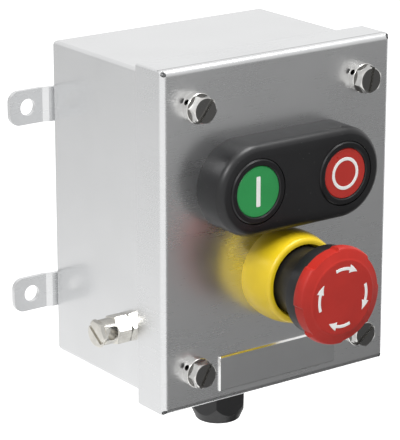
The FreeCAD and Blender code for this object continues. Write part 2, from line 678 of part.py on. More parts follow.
def make_stop_skirt():
    """Black neck that flares to a skirt under the head, on a hub that turns on the shaft."""
    inner = NECK_RADIUS - NECK_WALL
    ceiling = SKIRT_HEIGHT - SKIRT_HUB
    hub = SHAFT_RADIUS + SLIDING_FIT
    flare_mid = (NECK_RADIUS * 0.75 + SKIRT_RADIUS * 0.25, (NECK_STRAIGHT + SKIRT_HEIGHT) / 2 - 0.3)
    return turned((hub, ceiling), (inner, ceiling), (inner, NECK_END), (NECK_RADIUS, NECK_END),
                  (NECK_RADIUS, NECK_STRAIGHT), (*flare_mid, SKIRT_RADIUS, SKIRT_HEIGHT - 1.2),
                  (SKIRT_RADIUS, SKIRT_HEIGHT), (hub, SKIRT_HEIGHT))


def lobed_prism(low, high):
    """Prism over the head's outline: lobes on the full circle, with flatter arcs between them."""
    pitch = 360 / HEAD_LOBES
    points = []
    for k in range(HEAD_LOBES):
        start = HEAD_LOBE_START + pitch * k
        lobe_end = start + HEAD_LOBE_ANGLE
        gap_middle = (lobe_end + start + pitch) / 2
        points.append((*polar(HEAD_RADIUS, (start + lobe_end) / 2), *polar(HEAD_RADIUS, lobe_end)))
        points.append((*polar(HEAD_RADIUS - HEAD_SCALLOP, gap_middle), *polar(HEAD_RADIUS, start + pitch)))
    wire = outline(points, lambda x, y: V(x, y, low))
    return Part.Face(wire).extrude(V(0, 0, high - low))


def make_stop_head():
    """Red mushroom with a bevelled front, a lobed outline for the grip and a pocket for the shaft's tip."""
    shoulder = HEAD_RADIUS - HEAD_SHOULDER_INSET
    bulge = HEAD_SIDE_BULGE
    pocket_radius = SHAFT_TIP_RADIUS + LOOSE_FIT
    pocket_end = SKIRT_HEIGHT + SHAFT_TIP_HEIGHT + 2 * LOOSE_FIT
    form = turned((pocket_radius, SKIRT_HEIGHT), (HEAD_BACK_RADIUS, SKIRT_HEIGHT),
                  (HEAD_RADIUS - bulge, (SKIRT_HEIGHT + HEAD_WIDEST) / 2 + bulge, HEAD_RADIUS, HEAD_WIDEST),
                  (HEAD_RADIUS - bulge, (HEAD_WIDEST + HEAD_SHOULDER) / 2 + bulge, shoulder, HEAD_SHOULDER),
                  (HEAD_FRONT_RADIUS + HEAD_EDGE_WIDTH, HEAD_HEIGHT - HEAD_EDGE_HEIGHT),
                  (HEAD_FRONT_RADIUS + HEAD_EDGE_WIDTH * 0.6, HEAD_HEIGHT - HEAD_EDGE_HEIGHT * 0.3,
                   HEAD_FRONT_RADIUS, HEAD_HEIGHT),
                  (0, HEAD_HEIGHT), (0, pocket_end), (pocket_radius, pocket_end))
    return form.common(lobed_prism(0, 2 * HEAD_HEIGHT))


# Contact blocks

def terminal_places():
    """Centres of the four terminal screws, from the block's axis."""
    x = (BLOCK_BARRIER / 2 + BLOCK_WIDTH / 2 - BLOCK_SIDE_WALL) / 2
    y = BLOCK_HEIGHT / 2 - BLOCK_SHELF_HEIGHT / 2
    return [(sx * x, sy * y) for sx in (-1, 1) for sy in (-1, 1)]


def make_contact_block():
    """Moulded block that couples to the barrel, with four terminals, wire entries and grip ribs."""
    body = rounded_block(BLOCK_WIDTH, BLOCK_HEIGHT, BLOCK_CORNER, BLOCK_REAR, BLOCK_FRONT)
    coupling = ring(BLOCK_COUPLING_RADIUS, BARREL_RADIUS + SLIDING_FIT, BLOCK_FRONT,
                    BLOCK_FRONT + BLOCK_COUPLING_LENGTH)
    body = body.fuse(coupling)
    cuts = [disc(BLOCK_BORE_RADIUS, BLOCK_BORE_END, BLOCK_FRONT)]
    shelf = BLOCK_REAR + BLOCK_SHELF_DEPTH
    shelf_width = BLOCK_WIDTH / 2 - BLOCK_SIDE_WALL - BLOCK_BARRIER / 2
    wire_low = shelf + TERMINAL_RECESS + 1.0
    for x, y in terminal_places():
        edge = math.copysign(BLOCK_HEIGHT / 2, y)
        cuts.append(block(shelf_width, BLOCK_SHELF_HEIGHT, BLOCK_REAR, shelf, x, y))
        recess = disc(TERMINAL_RADIUS + LOOSE_FIT, BLOCK_REAR, shelf + TERMINAL_RECESS)
        shank = disc(TERMINAL_SHANK_RADIUS + SLIDING_FIT, shelf, shelf + TERMINAL_RECESS + TERMINAL_SHANK)
        cuts += [recess.translate(V(x, y, 0)), shank.translate(V(x, y, 0))]
        wire_high = wire_low + BLOCK_WIRE_HEIGHT
        cuts.append(block(BLOCK_WIRE_WIDTH, 2 * BLOCK_WIRE_DEPTH, wire_low, wire_high, x, edge))
    first = -(BLOCK_GRIPS - 1) / 2 * BLOCK_GRIP_PITCH
    middle = BLOCK_REAR + BLOCK_DEPTH / 2
    for side in (-BLOCK_WIDTH / 2, BLOCK_WIDTH / 2):
        for k in range(BLOCK_GRIPS):
            y = first + k * BLOCK_GRIP_PITCH
            cuts.append(block(2 * BLOCK_GRIP_DEPTH, BLOCK_GRIP_WIDTH, BLOCK_REAR, middle, side, y))
    return body.cut(cuts)


def make_terminal_screws():
    """Clamping screws of all the blocks, with their heads facing the rear."""
    seat = BLOCK_REAR + BLOCK_SHELF_DEPTH + TERMINAL_RECESS
    top = seat - TERMINAL_HEAD
    head = disc(TERMINAL_RADIUS, top, seat)
    slot = block(2 * TERMINAL_RADIUS, TERMINAL_SLOT, top, top + TERMINAL_SLOT_DEPTH)
    screw = head.fuse(disc(TERMINAL_SHANK_RADIUS, seat, seat + TERMINAL_SHANK)).cut(slot)
    screws = []
    for x, z in ACTUATOR_PLACES:
        for dx, dz in terminal_places():
            screws.append(on_front(screw, x + dx, z + dz))
    return Part.makeCompound(screws)


# Earth terminal

def make_earth_terminal():
    """Hexagonal body with a turned neck, whose cross hole takes the conductor from the front."""
    neck_end = EARTH_HEX_LENGTH + EARTH_NECK_LENGTH
    body = chamfered_hexagon(EARTH_FLATS, 0, EARTH_HEX_LENGTH, EARTH_HEX_TURN + 30)
    neck = disc(EARTH_NECK_RADIUS, EARTH_HEX_LENGTH / 2, neck_end)
    thread = disc(EARTH_THREAD_RADIUS, -EARTH_THREAD_LENGTH, 0)
    middle = EARTH_HEX_LENGTH + EARTH_HOLE_LEVEL
    reach = 2 * EARTH_NECK_RADIUS
    hole = Part.makeCylinder(EARTH_HOLE_RADIUS, 2 * reach, V(0, -reach, middle), V(0, 1, 0))
    tapped = disc(EARTH_SCREW_RADIUS + SLIDING_FIT, middle, neck_end)
    return on_left_wall(body.fuse([neck, thread]).cut([hole, tapped]))


def make_earth_clamp_screw():
    """Slotted hexagon screw that presses the conductor in the cross hole."""
    seat = EARTH_HEX_LENGTH + EARTH_NECK_LENGTH
    tip = EARTH_HEX_LENGTH + EARTH_HOLE_LEVEL + EARTH_HOLE_RADIUS + SLIDING_FIT
    top = seat + EARTH_SCREW_HEAD
    head = chamfered_hexagon(FASTENER_FLATS, seat, top, EARTH_SCREW_ANGLE, both=False)
    shank = disc(EARTH_SCREW_RADIUS, tip, seat)
    slot = slot_cut(SCREW_SLOT, 2 * FASTENER_FLATS, EARTH_SCREW_HEAD / 2, top, EARTH_SCREW_ANGLE + 30)
    return on_left_wall(head.fuse(shank).cut(slot))


def make_earth_washer():
    bore = EARTH_THREAD_RADIUS + LOOSE_FIT
    return on_left_wall(ring(EARTH_WASHER_RADIUS, bore, -SHEET - EARTH_WASHER_THICKNESS, -SHEET))


def make_earth_nut():
    top = -SHEET - EARTH_WASHER_THICKNESS
    nut = chamfered_hexagon(FASTENER_FLATS, top - EARTH_NUT_HEIGHT, top)
    bore = disc(EARTH_THREAD_RADIUS + SLIDING_FIT, top - EARTH_NUT_HEIGHT, top)
    return on_left_wall(nut.cut(bore))


# Cable gland

def make_gland_body():
    """Hexagonal body with the entry thread above it and a cup for the rubber seal below it."""
    hex_end = GLAND_SEAL_THICKNESS + GLAND_HEX_HEIGHT
    inner_end = -SHEET - GLAND_NUT_HEIGHT - GLAND_THREAD_EXTRA
    body = chamfered_hexagon(GLAND_HEX_FLATS, GLAND_SEAL_THICKNESS, hex_end, DOME_TURN)
    thread = disc(GLAND_THREAD_RADIUS, inner_end, GLAND_SEAL_THICKNESS)
    neck = disc(GLAND_NECK_RADIUS, hex_end, GLAND_NECK_END)
    bore = disc(GLAND_BORE, inner_end, GLAND_NECK_END)
    cup = disc(GLAND_CUP_RADIUS, GLAND_CUP_FLOOR, GLAND_NECK_END)
    return on_bottom_wall(body.fuse([thread, neck]).cut([bore, cup]))


def make_gland_gasket():
    return on_bottom_wall(ring(GLAND_SEAL_RADIUS, GLAND_THREAD_RADIUS + SLIDING_FIT, 0, GLAND_SEAL_THICKNESS))


def make_gland_seal():
    """Rubber insert that the dome nut squeezes round the cable."""
    outer = GLAND_CUP_RADIUS - SLIDING_FIT
    taper = GLAND_RUBBER_END - GLAND_NECK_END
    return on_bottom_wall(turned((CABLE_HOLE_RADIUS, GLAND_CUP_FLOOR), (outer, GLAND_CUP_FLOOR),
                                 (outer, GLAND_NECK_END), (outer - taper / 2, GLAND_RUBBER_END),
                                 (CABLE_HOLE_RADIUS, GLAND_RUBBER_END)))


def make_gland_dome_nut():
    """Hexagonal nut that narrows to a rounded mouth, hollow over the gland's neck and seal."""
    corner = DOME_FLATS / math.sqrt(3)
    slope = (corner - DOME_END_RADIUS) / (DOME_END - DOME_SHOULDER)
    edge_height = DOME_END - DOME_EDGE
    edge_radius = DOME_END_RADIUS + slope * DOME_EDGE
    edge_mid = DOME_EDGE * 0.3
    chamfer = 0.8
    form = turned((0, DOME_START), (corner - chamfer, DOME_START), (corner, DOME_START + chamfer),
                  (corner, DOME_SHOULDER), (edge_radius, edge_height),
                  (DOME_END_RADIUS + edge_mid / 2, DOME_END - edge_mid,
                   DOME_END_RADIUS - DOME_EDGE, DOME_END), (0, DOME_END))
    outside = form.common(hexagon(DOME_FLATS, DOME_START, DOME_END, DOME_TURN))
    neck = GLAND_NECK_RADIUS + SLIDING_FIT
    cone_end = GLAND_RUBBER_END + neck - DOME_MOUTH
    hollow = turned((0, DOME_START), (neck, DOME_START), (neck, GLAND_RUBBER_END), (DOME_MOUTH, cone_end),
                    (DOME_MOUTH, DOME_END), (0, DOME_END))
    return on_bottom_wall(outside.cut(hollow))


def make_gland_lock_nut():
    low = -SHEET - GLAND_NUT_HEIGHT
    nut = chamfered_hexagon(GLAND_NUT_FLATS, low, -SHEET)
    return on_bottom_wall(nut.cut(disc(GLAND_THREAD_RADIUS + SLIDING_FIT, low, -SHEET)))


# All the nodes

def make_nodes():
    nodes = {
        "enclosure_body": make_enclosure_body(),
        "corner_brackets": make_corner_brackets(),
        "upper_mounting_strap": make_mounting_strap(LUG_SPACING_Z / 2),
        "lower_mounting_strap": make_mounting_strap(-LUG_SPACING_Z / 2),
        "earth_terminal": make_earth_terminal(),
        "earth_clamp_screw": make_earth_clamp_screw(),
        "earth_washer": make_earth_washer(),
        "earth_nut": make_earth_nut(),
        "gland_body": make_gland_body(),
        "gland_gasket": make_gland_gasket(),
        "gland_seal": make_gland_seal(),
        "gland_dome_nut": make_gland_dome_nut(),
        "gland_lock_nut": make_gland_lock_nut(),
        "cover": make_cover(),
        "cover_gasket": make_cover_gasket(),
        "cover_screws": make_cover_screws(),
        "screw_retainers": make_screw_retainers(),
        "blank_plate": make_blank_plate(),
        "button_housing": make_button_housing(),
        "housing_gasket": make_housing_gasket(),
        "stem_seals": Part.makeCompound([on_front(seal_ring(STEM_RADIUS), x, z) for x, z in BUTTON_PLACES]),
        "button_lock_nuts": Part.makeCompound([on_front(lock_nut(), x, z) for x, z in BUTTON_PLACES]),
        "terminal_screws": make_terminal_screws(),
        "estop_collar": on_front(make_stop_collar(), *STOP_PLACE),
        "estop_gasket": on_front(make_stop_gasket(), *STOP_PLACE),
        "estop_bushing": on_front(make_stop_bushing(), *STOP_PLACE),
        "estop_lock_nut": on_front(lock_nut(), *STOP_PLACE),
        "estop_seal": on_front(seal_ring(SHAFT_RADIUS), *STOP_PLACE),
        "estop_shaft": on_front(make_stop_shaft(), *STOP_PLACE),
        "estop_spring": on_front(make_stop_spring(), *STOP_PLACE),
        "estop_skirt": on_front(make_stop_skirt(), *STOP_PLACE),
        "estop_head": on_front(make_stop_head(), *STOP_PLACE),
        "estop_contact_block": on_front(make_contact_block(), *STOP_PLACE),
    }
    for name, place in zip(("start", "stop"), BUTTON_PLACES):
        nodes[name + "_cap"] = on_front(make_button_cap(), *place)
        nodes[name + "_disc"] = on_front(make_button_disc(), *place)
        nodes[name + "_stem"] = on_front(make_button_stem(), *place)
        nodes[name + "_spring"] = on_front(make_button_spring(), *place)
        nodes[name + "_contact_block"] = on_front(make_contact_block(), *place)
    return nodes


os.makedirs("parts", exist_ok=True)
for node_name, node_shape in make_nodes().items():
    node_shape.exportStep("parts/" + node_name + ".step")
    print(node_name, len(node_shape.Solids), "solids", round(node_shape.Volume), "mm3",
          "valid" if node_shape.isValid() else "NOT VALID")
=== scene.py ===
# %% [markdown]
# # Explosion-proof control station: finishes, marks and light
#
# The solids of the station come ready made from the CAD model: a folded stainless box, a tray
# cover with two buttons and a mushroom stop, lugs, an earth terminal and a cable gland. This
# notebook gives each of them a finish, adds the white marks that the solids leave out, and sets
# up the studio. Every finish is worked out by shader nodes from the place on the object, so it
# stays put when a button is pressed or the cover comes off.

import json
import math

import bpy
import numpy as np
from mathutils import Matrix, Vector


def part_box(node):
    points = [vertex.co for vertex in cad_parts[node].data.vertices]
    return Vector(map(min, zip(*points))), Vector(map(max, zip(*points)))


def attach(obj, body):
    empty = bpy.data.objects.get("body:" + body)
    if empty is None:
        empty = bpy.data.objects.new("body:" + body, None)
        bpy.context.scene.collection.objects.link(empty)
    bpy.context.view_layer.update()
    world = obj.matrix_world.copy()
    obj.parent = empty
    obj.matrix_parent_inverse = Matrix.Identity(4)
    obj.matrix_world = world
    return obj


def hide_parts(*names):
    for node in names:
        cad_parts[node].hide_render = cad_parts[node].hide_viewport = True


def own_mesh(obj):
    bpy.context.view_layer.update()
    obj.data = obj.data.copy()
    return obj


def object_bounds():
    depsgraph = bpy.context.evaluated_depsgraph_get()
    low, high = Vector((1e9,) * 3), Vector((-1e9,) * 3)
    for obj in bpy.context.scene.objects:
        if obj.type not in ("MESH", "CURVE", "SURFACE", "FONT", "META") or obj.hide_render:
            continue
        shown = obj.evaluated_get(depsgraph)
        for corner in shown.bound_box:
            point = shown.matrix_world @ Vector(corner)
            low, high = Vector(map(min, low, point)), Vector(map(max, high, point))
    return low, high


MM = 0.001
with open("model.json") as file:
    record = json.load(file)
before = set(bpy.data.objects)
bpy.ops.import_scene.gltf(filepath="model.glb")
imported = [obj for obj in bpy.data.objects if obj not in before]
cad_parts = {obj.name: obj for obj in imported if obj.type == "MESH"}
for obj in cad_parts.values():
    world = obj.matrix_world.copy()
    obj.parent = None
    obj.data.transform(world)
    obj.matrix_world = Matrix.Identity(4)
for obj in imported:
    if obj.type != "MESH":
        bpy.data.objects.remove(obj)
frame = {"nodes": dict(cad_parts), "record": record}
solids = frame["nodes"]
solid_box = [list(corner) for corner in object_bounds()]
print(len(solids), "solids, box", np.round(solid_box, 4).tolist())

# %% [markdown]
# ## Where the main faces lie
#
# The marks and some finishes need the axes of the buttons, the mushroom and the cover screws. They
# could be typed in again, but then two files would hold the same numbers. Here they are measured
# from the boxes of the solids, so they follow the CAD model by themselves.

# %% Axes and front faces, measured from the solids
def axis_and_front(name):
    """Centre of a solid seen from the front, and the y of its front face."""
    low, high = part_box(name)
    return (low[0] + high[0]) / 2, (low[2] + high[2]) / 2, low[1]


START_X, BUTTON_Z, DISC_FRONT = axis_and_front("start_disc")
STOP_X = axis_and_front("stop_disc")[0]
HEAD_X, HEAD_Z, _ = axis_and_front("estop_shaft")
COVER_FRONT = axis_and_front("cover")[2]
RETAINER_RADIUS = 4.7 * MM
SCREW_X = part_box("screw_retainers")[1][0] - RETAINER_RADIUS
SCREW_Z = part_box("screw_retainers")[1][2] - RETAINER_RADIUS
print("discs at x", round(START_X, 4), round(STOP_X, 4))
print("cover screws at", round(SCREW_X, 4), round(SCREW_Z, 4))

# %% [markdown]
# ## Shader sums as Python sums
#
# A finish is a small calculation: how far from an axis, how strong the grain, how dark the stain.
# Blender does it with Math nodes, which are slow to wire by hand. The class below wraps one output
# socket, so that writing a + b or 1 - mask adds the node.

# %% A number that varies over the surface
class Amount:
    """One shader output. Each sum, difference or product adds a Math node."""

    def __init__(self, finish, socket):
        self.finish = finish
        self.socket = socket

    def math(self, operation, *values):
        return self.finish.node("Math", {"operation": operation}, dict(enumerate(values)))

    def __add__(self, other):
        return self.math("ADD", self, other)

    def __sub__(self, other):
        return self.math("SUBTRACT", self, other)

    def __rsub__(self, other):
        return self.math("SUBTRACT", other, self)

    def __mul__(self, other):
        return self.math("MULTIPLY", self, other)

    def __abs__(self):
        return self.math("ABSOLUTE", self)

    __radd__ = __add__
    __rmul__ = __mul__

    def sine(self):
        return self.math("SINE", self)

    def larger(self, other):
        return self.math("MAXIMUM", self, other)


print("an Amount is:", Amount.__doc__)

# %% [markdown]
# A second class holds one material. Every other kind of node could have a function of its own, but
# they are all made alike: settings first, then the sockets. So one method adds them, and short
# methods name the patterns that come back in finish after finish.

# %% A finish: one material and its nodes
class Finish:
    """A material built from nodes, and short names for the patterns that the finishes share."""

    def __init__(self, name):
        self.material = bpy.data.materials.new(name)
        self.material.use_nodes = True
        self.tree = self.material.node_tree
        self.tree.nodes.clear()
        self.place = self.node("TexCoord", output="Object")
        self.x, self.y, self.z = [self.node("SeparateXYZ", inputs={0: self.place}, output=k)
                                  for k in range(3)]

    def node(self, kind, settings=None, inputs=None, output=0):
        """Adds a node: first its settings, then the values or links of its sockets."""
        made = self.tree.nodes.new("ShaderNode" + kind)
        for name, value in (settings or {}).items():
            setattr(made, name, value)
        for socket, value in (inputs or {}).items():
            if isinstance(value, Amount):
                self.tree.links.new(value.socket, made.inputs[socket])
            else:
                made.inputs[socket].default_value = value
        return Amount(self, made.outputs[output]) if made.outputs else made

    def stretched(self, x, y, z):
        """The place on the object with its three axes multiplied by different numbers."""
        return self.node("VectorMath", {"operation": "MULTIPLY"}, {0: self.place, 1: (x, y, z)})

    def noise(self, size, place=None, detail=3.0, roughness=0.5):
        """Soft random pattern from 0 to 1, whose features are about size metres across."""
        return self.node("TexNoise", None, {"Vector": place or self.place, "Scale": 1 / size,
                                            "Detail": detail, "Roughness": roughness})

    def fade(self, value, start, end, low=0.0, high=1.0):
        """Smooth step: low where the value is below start, high where it is above end."""
        return self.node("MapRange", {"interpolation_type": "SMOOTHSTEP"},
                         {0: value, 1: start, 2: end, 3: low, 4: high})

    def mixed(self, share, first, second):
        """Colour between two colours."""
        first, second = [c if isinstance(c, Amount) else (*c, 1.0) for c in (first, second)]
        return self.node("Mix", {"data_type": "RGBA"}, {0: share, 6: first, 7: second}, 2)

    def relief(self, height, depth, strength=1.0):
        """Surface direction tilted by a height map, where 1 stands for depth metres."""
        return self.node("Bump", None, {"Height": height, "Distance": depth, "Strength": strength})

    def surface(self, sockets):
        """Joins the sockets' values to one Principled surface and returns the material."""
        shader = self.node("BsdfPrincipled", None, sockets)
        self.node("OutputMaterial", None, {"Surface": shader})
        return self.material


print("a Finish is:", Finish.__doc__)

# %% [markdown]
# ## Folded stainless sheet
#
# The box, the lugs and the cover are folded from satin stainless sheet. It is smooth enough to
# mirror what touches it and blurs what is further off. Up close it has a faint grain of long fine
# scratches from the rolling mill, broad cloudy patches where hands and cloths have been, and a few
# single scratches. The grain is a noise stretched along the sheet: on the front and the side walls
# it runs level, and on the top it runs from left to right. Just behind the cover's bend, a thin
# line of painted shade is laid on the top, darker than the sheet beside it. A photograph of such
# sheet could be laid on, but it would repeat, and end in pixels up close. Noise has no seams and
# is as fine as it is asked to be.

# %% Satin sheet
def satin_sheet(name, tint, gloss, fold=None):
    """Satin stainless. Grain is noise squeezed across the rolling direction; clouds dull it.

    Where a fold is given, the top has a thin dark line of painted shade at that y."""
    f = Finish(name)
    facing = f.node("TexCoord", output="Normal")
    upward = f.fade(abs(f.node("SeparateXYZ", inputs={0: facing}, output=2)), 0.6, 0.8)
    walls = f.noise(0.35 * MM, f.stretched(0.02, 0.02, 1.0), 4, 0.62)
    decks = f.noise(0.35 * MM, f.stretched(0.02, 1.0, 0.02), 4, 0.62)
    grain = walls + (decks - walls) * upward
    clouds = f.noise(34 * MM, None, 4, 0.55)
    wipes = f.noise(9 * MM, f.stretched(0.5, 0.5, 1.6), 3, 0.6)
    scratch_field = f.noise(2.2 * MM, f.stretched(0.06, 0.06, 1.3), 1, 0.4)
    scratches = f.fade(abs(scratch_field - 0.5), 0.0, 0.004, 1.0, 0.0) * f.fade(clouds, 0.5, 0.62)
    dull = tuple(0.95 * c for c in tint)
    colour = f.mixed(f.fade(clouds * 0.7 + grain * 0.3, 0.3, 0.7), dull, tint)
    if fold is not None:
        # A thin dark line of painted shade just behind the bend, on faces that look up or down.
        painted_fold_shade = f.fade(abs(f.y - fold), 0.25 * MM, 0.55 * MM, 1.0, 0.0) * upward
        colour = f.mixed(painted_fold_shade, colour, tuple(0.45 * c for c in tint))
    rough = gloss + (grain - 0.5) * 0.05 + (clouds - 0.5) * 0.06 + (wipes - 0.5) * 0.04
    height = grain * 0.5 + scratches * -0.6
    return f.surface({"Base Color": colour, "Metallic": 1.0, "Roughness": rough,
                      "Normal": f.relief(height, 0.002 * MM, 0.1)})


SHEET = satin_sheet("satin_sheet", (0.70, 0.705, 0.71), 0.22)
# The cover's sheet has the line of painted shade 3.1 mm behind its front face.
COVER_SHEET = satin_sheet("cover_sheet", (0.70, 0.705, 0.71), 0.28, COVER_FRONT + 3.1 * MM)
LUG_SHEET = satin_sheet("lug_sheet", (0.72, 0.725, 0.73), 0.28)
print("sheet finishes:", SHEET.name, COVER_SHEET.name, LUG_SHEET.name)

# %% [markdown]
# ## Turned screws
#
# The cover screws are turned and milled stainless. Their flats are bright. Their end faces get a
# painted shade, a darker colour where the surface looks along the screw's axis, and show faint
# rings from the lathe. Rings could be drawn for each screw from its own axis. But all four sit at
# the same distance from the middle of the cover, so folding the object along both centre
# lines puts them on top of each other, and one set of rings serves them all.

# %% Turned stainless
def turned_steel(name, tint, gloss, axis_x, axis_z, pitch, painted_end_shade=1.0):
    """Bright steel with lathe rings: a sine of the distance from the axis, broken up by noise.

    Faces that look along the axis get a painted shade: the tint times the painted end shade."""
    f = Finish(name)
    facing = f.node("TexCoord", output="Normal")
    end = f.fade(abs(f.node("SeparateXYZ", inputs={0: facing}, output=1)), 0.85, 0.97)
    folded = f.node("CombineXYZ", inputs={0: abs(f.x) - axis_x, 2: abs(f.z) - axis_z})
    distance = f.node("VectorMath", {"operation": "LENGTH"}, {0: folded}, "Value")
    wobble = f.noise(3 * MM)
    rings = (distance * (2 * math.pi / pitch) + wobble * 3.0).sine()
    stain = f.noise(2.4 * MM, None, 4, 0.6)
    colour = f.mixed(f.fade(stain, 0.35, 0.7), tuple(0.85 * c for c in tint), tint)
    # Painted shade: the end faces' colour is the tint times the painted end shade.
    colour = f.mixed(end, colour, tuple(painted_end_shade * c for c in tint))
    return f.surface({"Base Color": colour, "Metallic": 1.0,
                      "Roughness": gloss + rings * 0.03 + (stain - 0.5) * 0.12,
                      "Normal": f.relief(rings * 0.5 + stain, 0.003 * MM, 0.5)})


SCREW_RINGS = 0.35 * MM
COVER_SCREWS = turned_steel("turned_stainless", (0.74, 0.73, 0.71), 0.2, SCREW_X, SCREW_Z,
                            SCREW_RINGS, painted_end_shade=0.25)
SHAFT_STEEL = turned_steel("shaft_steel", (0.55, 0.55, 0.55), 0.28, 0, 0, 0.4 * MM)
SPRING_STEEL = turned_steel("spring_wire", (0.50, 0.49, 0.47), 0.34, 0, 0, 1.1 * MM)
print("ring pitch of the screws:", round(SCREW_RINGS / MM, 2), "mm")

# %% [markdown]
# ## Nickel plate
#
# The earth terminal, its nut and the small clamping screws are brass with a nickel plate, a touch
# warmer than stainless and a little cloudy from handling. Tiny pits from the bar stock show
# through the plate. Noise alone would give blotches of every shape. Pits are small, round and
# apart from each other, so they come from the cells of a Voronoi pattern.

# %% Plated brass
def nickel_plate(name, tint, gloss):
    """Warm bright metal: cloudy roughness, and pits where a cell pattern is near its centres."""
    f = Finish(name)
    clouds = f.noise(4 * MM, None, 4, 0.6)
    cells = f.node("TexVoronoi", None, {"Vector": f.place, "Scale": 1 / (0.9 * MM)}, "Distance")
    pits = f.fade(cells, 0.05, 0.16, 1.0, 0.0)
    colour = f.mixed(f.fade(clouds, 0.3, 0.75), tuple(0.82 * c for c in tint), tint)
    return f.surface({"Base Color": colour, "Metallic": 1.0,
                      "Roughness": gloss + (clouds - 0.5) * 0.18 + pits * 0.15,
                      "Normal": f.relief(clouds * 0.6 - pits, 0.01 * MM, 0.5)})


NICKEL = nickel_plate("nickel_plate", (0.70, 0.68, 0.63), 0.2)
print("plated pieces share", NICKEL.name)

# %% [markdown]
# ## Bare plate
#
# The long plate under the mushroom is anodised aluminium, dull on its face. Round it runs a
# bevel, which is smoother and whose colour is lightened to a painted highlight. The bevel's faces
# could get a second material, but then someone has to pick them. Here they are found by their
# slope: where the surface no longer looks straight to the front, it gets the painted highlight
# and a smoother gloss.

# %% Anodised plate with a bright bevel
def bare_plate(name):
    """Satin face; where the surface leans away from the front, a painted highlight and smoother
    gloss.
    """
    f = Finish(name)
    facing = f.node("TexCoord", output="Normal")
    lean = f.fade(abs(f.node("SeparateXYZ", inputs={0: facing}, output=1)), 0.8, 0.95, 1.0, 0.0)
    grain = f.noise(0.3 * MM, f.stretched(0.02, 1.0, 1.0), 3, 0.6)
    clouds = f.noise(14 * MM, None, 3, 0.5)
    face = f.mixed(clouds, (0.53, 0.535, 0.54), (0.60, 0.605, 0.61))
    # Painted highlight: the colour is lightened where the surface leans away from the front.
    return f.surface({"Base Color": f.mixed(lean, face, (0.80, 0.80, 0.79)), "Metallic": 1.0,
                      "Roughness": 0.36 + (grain - 0.5) * 0.14 - lean * 0.16,
                      "Normal": f.relief(grain, 0.003 * MM, 0.5)})


PLATE = bare_plate("bare_plate")
print("plate finish:", PLATE.name)

# %% [markdown]
# ## Moulded plastics
#
# The housing, caps, neck, collar, mushroom, gland and contact blocks are moulded. A mould leaves a
# fine spark-eroded texture, and the plastic shows slow changes of gloss where it flowed and
# cooled. Handling polishes the high spots, and a few dust specks stay on dark plastic. Each
# plastic could have nodes of its own, but they differ in numbers only. So one function makes them
# all, and the numbers give each its colour, gloss and texture size.

# %% Moulded plastic
def moulded(name, colour, gloss, texture, depth, mottle=0.12, dust=0.0, sheen=0.5):
    """Plastic: fine noise for the mould texture, slow noise for gloss, cells for dust specks."""
    f = Finish(name)
    fine = f.noise(texture, None, 2, 0.5)
    flow = f.noise(16 * MM, None, 3, 0.5)
    handled = f.noise(5 * MM, None, 4, 0.6)
    cells = f.node("TexVoronoi", None, {"Vector": f.place, "Scale": 1 / (2.2 * MM)}, "Distance")
    specks = f.fade(cells, 0.03, 0.06, dust, 0.0)
    deep = tuple((1 - mottle) * c for c in colour)
    pale = tuple(c + (1 - c) * 0.35 for c in colour)
    tone = f.mixed(f.fade(flow, 0.3, 0.7), deep, colour)
    return f.surface({"Base Color": f.mixed(specks, tone, pale),
                      "Roughness": (gloss + (flow - 0.5) * 0.1 + (handled - 0.5) * 0.1
                                    + specks * 0.3),
                      "Specular IOR Level": sheen,
                      "Normal": f.relief(fine, depth, 0.5)})


BLACK = moulded("black_moulding", (0.009, 0.009, 0.010), 0.36, 0.45 * MM, 0.015 * MM,
                mottle=0.2, dust=0.5, sheen=0.4)
CAP_BLACK = moulded("cap_black", (0.008, 0.008, 0.009), 0.36, 0.3 * MM, 0.008 * MM,
                    mottle=0.2, dust=0.3, sheen=0.3)
GLAND_BLACK = moulded("gland_black", (0.010, 0.010, 0.011), 0.42, 0.6 * MM, 0.02 * MM,
                      mottle=0.2, dust=0.4)
BLOCK_GREY = moulded("block_grey", (0.23, 0.24, 0.25), 0.42, 0.5 * MM, 0.015 * MM)
NATURAL = moulded("natural_plastic", (0.70, 0.69, 0.63), 0.4, 0.5 * MM, 0.01 * MM, mottle=0.06)
RUBBER = moulded("black_rubber", (0.022, 0.022, 0.022), 0.7, 0.35 * MM, 0.03 * MM,
                 mottle=0.3, dust=0.4, sheen=0.3)
print("blacks and naturals:", BLACK.name, CAP_BLACK.name, GLAND_BLACK.name, RUBBER.name)

# %% [markdown]
# The discs, the mushroom and the collar are of the same kinds of plastic with a pigment. Their
# colours are those of the safety code: green to start, red to stop, yellow behind a red mushroom.
# The marks are off-white, because pure white leaves no room for light and shade.

# %% Coloured plastics
GREEN = moulded("green_disc", (0.020, 0.30, 0.075), 0.3, 0.4 * MM, 0.006 * MM,
                mottle=0.1, dust=0.1)
RED = moulded("red_disc", (0.49, 0.023, 0.014), 0.3, 0.4 * MM, 0.006 * MM, mottle=0.1, dust=0.1)
HEAD_RED = moulded("mushroom_red", (0.47, 0.021, 0.013), 0.5, 0.5 * MM, 0.012 * MM,
                   mottle=0.12, dust=0.1, sheen=0.3)
YELLOW = moulded("collar_yellow", (0.78, 0.56, 0.012), 0.34, 0.5 * MM, 0.01 * MM,
                 mottle=0.08, dust=0.1)
WHITE = moulded("white_mark", (0.88, 0.88, 0.86), 0.42, 0.25 * MM, 0.006 * MM, mottle=0.05)
print("coloured finishes:", GREEN.name, RED.name, HEAD_RED.name, YELLOW.name, WHITE.name)

# %% [markdown]
# ## Dressing the solids
#
# The table says which finish each solid wears. A solid keeps its mesh and its place; only its
# material is changed.

